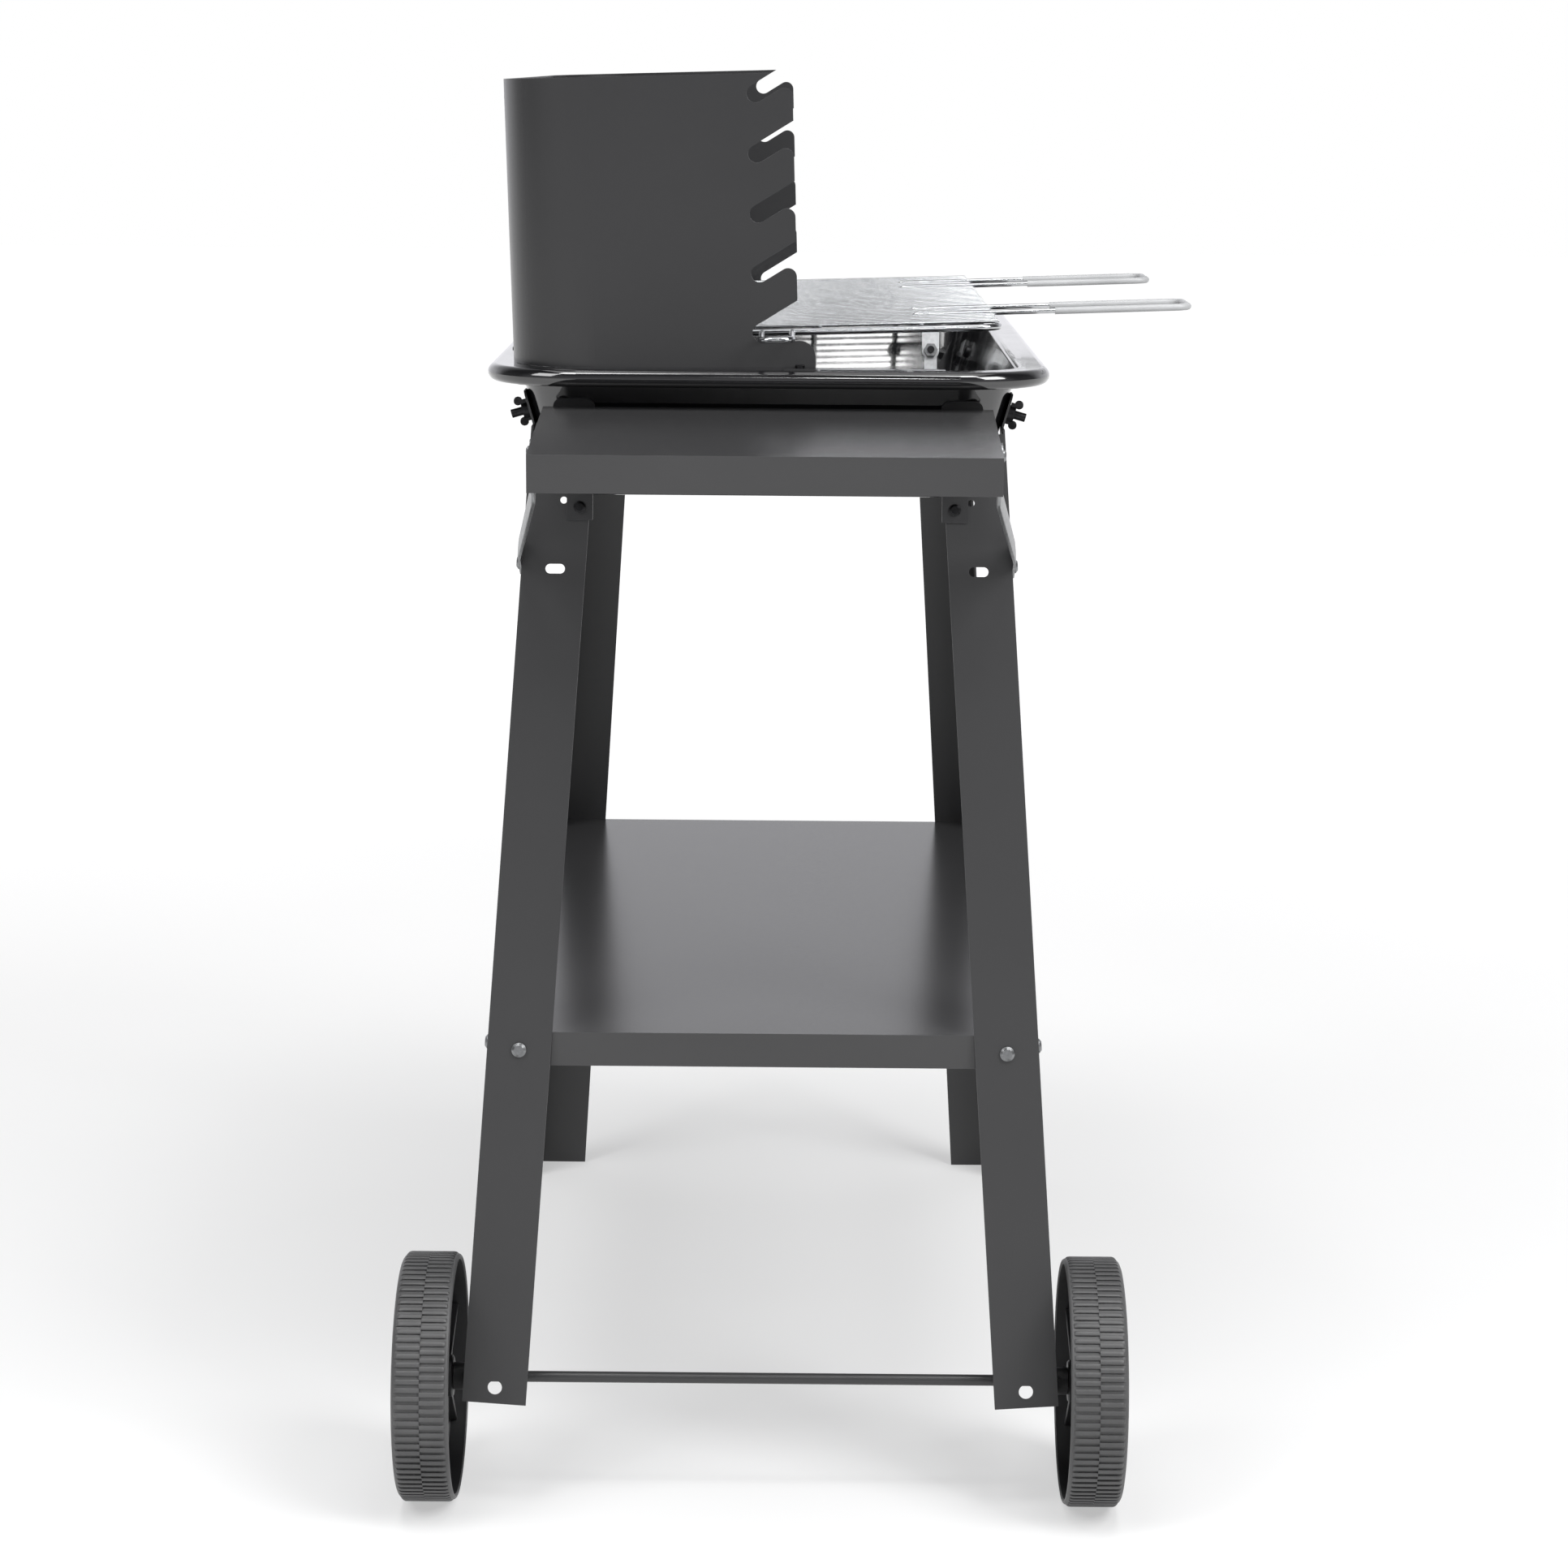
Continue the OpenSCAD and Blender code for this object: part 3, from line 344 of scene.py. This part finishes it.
# The band's chamfer at the inner face, across and along, and its flat and chamfer at the outer face.
INNER_CHAMFER = (0.2 * MM, 0.3 * MM)
OUTER_FLAT, OUTER_CHAMFER = 1.0 * MM, 0.5 * MM
# Spokes: half their thickness, where they start from the inner face, and how far they reach into
# the hub and into the disc and wall.
SPOKES = 6
SPOKE_TURN = 18
SPOKE_HALF, SPOKE_START = 1.25 * MM, 6 * MM
SPOKE_INTO_HUB, SPOKE_INTO_DISC = 0.7 * MM, 1 * MM
SPOKE_BEVEL = 0.35 * MM
# Steps round a wheel: two for each rib.
WHEEL_STEPS = 2 * RIBS


def shoulder_drop(along, width):
    """How far the tread's rounded shoulder has fallen at this distance across the tread."""
    shoulder = SHOULDERS[0] if along < width / 2 else SHOULDERS[1]
    edge = min(along, width - along)
    if edge >= shoulder:
        return 0.0
    return shoulder - math.sqrt(max(0.0, shoulder ** 2 - (shoulder - edge) ** 2))


def tread_rib(bm, place, angle, outer, inner, width, base):
    """One low bar across half of the tread, which rises out of the shoulder at its outer end."""
    half_angle = math.pi / RIBS * RIB_SHARE
    strips = []
    for i in range(RIB_SECTIONS):
        along = outer + (inner - outer) * (i / (RIB_SECTIONS - 1)) ** 2
        from_end = min(1.0, abs(along - outer) / RIB_FADE)
        surface = base - shoulder_drop(along, width)
        top = surface + RIB_RISE * math.sqrt(1 - (1 - from_end) ** 2)
        low = surface - RIB_ROOT
        side = top - RIB_SLOPE
        corners = ((-1.0, low), (-1.0, side), (-RIB_TOP_SHARE, top),
                   (RIB_TOP_SHARE, top), (1.0, side), (1.0, low))
        points = [polar(r, angle + turn * half_angle, along) for turn, r in corners]
        strips.append([bm.verts.new(place(point)) for point in points])
    ring_faces(bm, strips, closed=False)
    bm.faces.new(strips[0])
    bm.faces.new(strips[-1])


def disc_outline(inner, base, width):
    """Outline of the disc, in painted shade, its hub and the wall inside the tread, as (radius, height) points.
    """
    wall = inner - WALL
    ring = base - SHOULDERS[1] - RING_INSET
    return [
        (inner + WALL_TUCK, WALL_START), (inner + WALL_TUCK, width - RING_BACK), (ring, width - RING_BACK),
        (ring, width - RING_FRONT), (ring - RING_WIDTH, width - RING_FRONT),
        (ring - RING_WIDTH, width - RING_RECESS), (wall, width - RING_RECESS),
        (wall, DISC_RIM[1] + BEVEL), (wall - BEVEL, DISC_RIM[1]),
        (HUB_R + BEVEL, DISC_HUB[1]), (HUB_R, DISC_HUB[1] + HUB_RISE), (HUB_R, HUB_END - CHAMFER),
        (HUB_R - CHAMFER, HUB_END), (BORE_R, HUB_END), (BORE_R, HUB_START), (HUB_R - CHAMFER, HUB_START),
        (HUB_R, HUB_START + CHAMFER), (HUB_R, DISC_HUB[0] - HUB_RISE), (HUB_R + BEVEL, DISC_HUB[0]),
        (wall - BEVEL, DISC_RIM[0]), (wall, DISC_RIM[0] - BEVEL), (wall, WALL_START),
    ]


def band_outline(inner, base, width):
    """Outline of the tread band, with its rounded shoulders and an inner side that slants from face to face."""
    near, far = SHOULDERS
    across, along = INNER_CHAMFER
    flat = base - far - OUTER_FLAT
    return (
        [(inner, along), (inner + across, 0.0)]
        + arc(base - near, near, near, -90, 0, SHOULDER_STEPS)
        + arc(base - far, width - far, far, 0, 90, SHOULDER_STEPS)
        + [(flat, width), (flat - OUTER_CHAMFER, width - OUTER_CHAMFER)]
    )


def spoke(bm, place, angle, inner):
    """One flat rib on the inner side of the disc, from the hub to the wall."""
    start, end = HUB_R - SPOKE_INTO_HUB, inner - SPOKE_INTO_DISC
    outline = [(start, SPOKE_START), (end, SPOKE_START), (end, DISC_RIM[0] + SPOKE_INTO_DISC),
               (start, DISC_HUB[0] + SPOKE_INTO_DISC)]
    across = polar(1.0, angle + math.pi / 2, 0) * SPOKE_HALF
    sides = [[bm.verts.new(place(polar(r, angle, h) + across * turn)) for r, h in outline]
             for turn in (-1, 1)]
    for side in sides:
        bm.faces.new(side)
    ring_faces(bm, sides, closed=False)


def wheel(name, node, body, side):
    """Moulded wheel: a ribbed tread in two staggered rows in painted light, round a dished disc with spokes in
    painted shade.
    """
    lo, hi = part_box(node)
    radius = (hi.z - lo.z) / 2
    width = hi.y - lo.y
    centre = middle(node)
    inner_y = centre.y - side * width / 2
    base = radius - RIB_RISE
    inner = radius - TREAD_WALL

    def place(p):
        """Local Z is the axle's direction, from the wheel's inner face outwards."""
        return Vector((centre.x + p.x, inner_y + side * p.z, centre.z + p.y))

    bm = bmesh.new()
    revolve(bm, disc_outline(inner, base, width), WHEEL_STEPS, place)
    # Disc, hub and inner wall in the darker copy: a painted shade.
    piece(name, bm, DARK_PLASTIC_AND_WHEEL_SHADE, body, "wheel_plastic", node, smooth=40.0)

    # The two rows of ribs meet at the middle of the tread.
    bm = bmesh.new()
    revolve(bm, band_outline(inner, base, width), WHEEL_STEPS, place)
    for row, outer in enumerate((TREAD_BORDER, width - TREAD_BORDER)):
        for k in range(RIBS):
            tread_rib(bm, place, 2 * math.pi * (k + 0.5 * row) / RIBS, outer, width / 2, width, base)
    # Tread in the lighter copy: painted light.
    piece(name + "_tread", bm, WHEEL_PAINTED_LIGHT, body, "wheel_plastic", smooth=30.0)

    bm = bmesh.new()
    for k in range(SPOKES):
        spoke(bm, place, math.radians(360 / SPOKES * k + SPOKE_TURN), inner)
    bmesh.ops.recalc_face_normals(bm, faces=bm.faces)
    bmesh.ops.bevel(bm, geom=bm.edges[:], offset=SPOKE_BEVEL, segments=1, affect="EDGES")
    # Spokes in the darker copy: a painted shade.
    piece(name + "_spokes", bm, DARK_PLASTIC_AND_WHEEL_SHADE, body, "wheel_plastic")


wheel("rear_wheel", "wheel_rear", "wheel_a", 1)
wheel("front_wheel", "wheel_front", "wheel_b", -1)

# ---------------------------------------------------------------- floor

FLOOR_HALF = 14.0
FLOOR_DROP = 0.5 * MM
# The floor glows softly: less within GLOW_START of the bowl's middle, where shadows show, and nearly
# white beyond GLOW_END.
NEAR_GLOW, FAR_GLOW = 0.46, 0.95
GLOW_START, GLOW_END = 0.4, 3.0

floor_mesh = bpy.data.meshes.new("studio_floor")
floor_corners = [(x * FLOOR_HALF, y * FLOOR_HALF, 0) for x, y in ((-1, -1), (1, -1), (1, 1), (-1, 1))]
floor_mesh.from_pydata(floor_corners, [], [(0, 1, 2, 3)])
floor = bpy.data.objects.new("studio_floor", floor_mesh)
floor.location.z = -FLOOR_DROP
bpy.context.scene.collection.objects.link(floor)

pale = Tree("pale_floor")
pale.base(pale.tones(pale.noise(scale=1.5, detail=2.0), (0.44, 0.44, 0.44), (0.46, 0.46, 0.46)))
pale.set(Roughness=0.9, Specular_IOR_Level=0.0, Emission_Color=(1.0, 1.0, 1.0, 1.0))
glow = pale.remap(pale.distance_from((CX, CY, 0.0)), NEAR_GLOW, FAR_GLOW, GLOW_START, GLOW_END)
pale.link(glow, pale.shader.inputs["Emission Strength"])
floor_mesh.materials.append(pale.mat)

# ---------------------------------------------------------------- studio and light

# A studio with a bright backdrop behind the grill, dark sides, a dim camera side and a dark ceiling.
# It lights the grill and shows in its gloss, while a camera ray that meets nothing sees plain white.
# Its greys are a little blue.
SKY_BLUE = 1.02

world = bpy.data.worlds.new("studio")
bpy.context.scene.world = world
world.use_nodes = True
sky = world.node_tree
background = sky.nodes["Background"]
direction = sky.nodes.new("ShaderNodeSeparateXYZ")
sky.links.new(sky.nodes.new("ShaderNodeTexCoord").outputs["Generated"], direction.inputs[0])


def sky_ramp(axis, low, high, stops):
    """Greys along one axis of the looking direction, with stops from 0 at low to 1 at high."""
    span = sky.nodes.new("ShaderNodeMapRange")
    span.inputs["From Min"].default_value = low
    span.inputs["From Max"].default_value = high
    sky.links.new(direction.outputs[axis], span.inputs["Value"])
    ramp = sky.nodes.new("ShaderNodeValToRGB")
    while len(ramp.color_ramp.elements) < len(stops):
        ramp.color_ramp.elements.new(0.5)
    for element, (at, grey) in zip(ramp.color_ramp.elements, stops):
        element.position = at
        element.color = (grey, grey, grey * SKY_BLUE, 1.0)
    sky.links.new(span.outputs[0], ramp.inputs["Fac"])
    return ramp.outputs["Color"]


def sky_mix(kind, factor, a, b):
    """Mixes two colours. Each of factor, a and b is a plain value or a socket."""
    node = sky.nodes.new("ShaderNodeMix")
    node.data_type = "RGBA"
    node.blend_type = kind
    for value, socket in ((factor, node.inputs["Factor"]), (a, node.inputs[6]), (b, node.inputs[7])):
        if isinstance(value, (float, tuple)):
            socket.default_value = value
        else:
            sky.links.new(value, socket)
    return node.outputs[2]


around = sky_ramp("X", -1.0, 1.0, ((0.0, 0.42), (0.30, 0.30), (0.42, 0.10), (0.66, 0.14), (0.80, 1.0)))
above = sky_ramp("Z", 0.0, 1.0, ((0.22, 1.0), (0.62, 0.30)))
studio = sky_mix("MULTIPLY", 1.0, around, above)
camera_ray = sky.nodes.new("ShaderNodeLightPath").outputs["Is Camera Ray"]
sky.links.new(sky_mix("MIX", camera_ray, studio, (1.0, 1.0, 1.0, 1.0)), background.inputs["Color"])
background.inputs["Strength"].default_value = 1.0

bpy.context.scene.view_settings.view_transform = "Standard"


def area_light(name, place, target, size, size_y, power):
    """A rectangular light at place, turned towards target."""
    data = bpy.data.lights.new(name, "AREA")
    data.shape = "RECTANGLE"
    data.size = size
    data.size_y = size_y
    data.energy = power
    lamp = bpy.data.objects.new(name, data)
    bpy.context.scene.collection.objects.link(lamp)
    lamp.location = place
    lamp.rotation_euler = (Vector(target) - Vector(place)).to_track_quat("-Z", "Y").to_euler()


# The softboxes point this far below the bowl's rim.
AIM_DROP = 0.1


def softbox(name, azimuth, elevation, distance, size, size_y, power):
    """A softbox round the bowl's rim. Azimuth 0 is the camera's side, and +90 is +Y."""
    a, e = math.radians(azimuth), math.radians(elevation)
    flat = distance * math.cos(e)
    at = (CX - flat * math.cos(a), CY + flat * math.sin(a), RIM_HEIGHT + distance * math.sin(e))
    area_light(name, at, (CX, CY, RIM_HEIGHT - AIM_DROP), size, size_y, power)


softbox("key_left", azimuth=46, elevation=34, distance=2.6, size=1.1, size_y=1.4, power=30)
softbox("key_right", azimuth=-46, elevation=34, distance=2.6, size=1.1, size_y=1.4, power=54)
softbox("front_left", azimuth=24, elevation=62, distance=2.8, size=0.7, size_y=0.9, power=22)
softbox("front_right", azimuth=-24, elevation=62, distance=2.8, size=0.7, size_y=0.9, power=22)
softbox("near_strip", azimuth=-2.5, elevation=28, distance=3.0, size=0.16, size_y=0.22, power=3)
area_light("overhead", (CX, CY, 3.2), (CX, CY, 0), size=2.0, size_y=2.0, power=16)

# ---------------------------------------------------------------- camera

# The camera stands at the wheel end, about as high as the windshield's top, and looks slightly down.
# It is placed from the bowl's middle and the floor, and its angles are in radians.
SENSOR, LENS = 36.0, 84.7826
CAMERA_BACK = 2.3763
CAMERA_SIDE = -0.0140
CAMERA_HEIGHT = 0.8327
CAMERA_PITCH = 0.1941
CAMERA_YAW = 0.0015
CAMERA_ROLL = 0.008

camera_data = bpy.data.cameras.new("photo_camera")
camera_data.sensor_width = SENSOR
camera_data.lens = LENS
camera_data.clip_end = 60.0
camera = bpy.data.objects.new("photo_camera", camera_data)
bpy.context.scene.collection.objects.link(camera)
stand = Matrix.Translation((CX - CAMERA_BACK, CY + CAMERA_SIDE, CAMERA_HEIGHT))
turn = Matrix.Rotation(-math.pi / 2 + CAMERA_YAW, 4, "Z")
tilt = Matrix.Rotation(math.pi / 2 - CAMERA_PITCH, 4, "X")
roll = Matrix.Rotation(CAMERA_ROLL, 4, "Z")
camera.matrix_world = stand @ turn @ tilt @ roll
bpy.context.scene.camera = camera

bpy.context.view_layer.update()
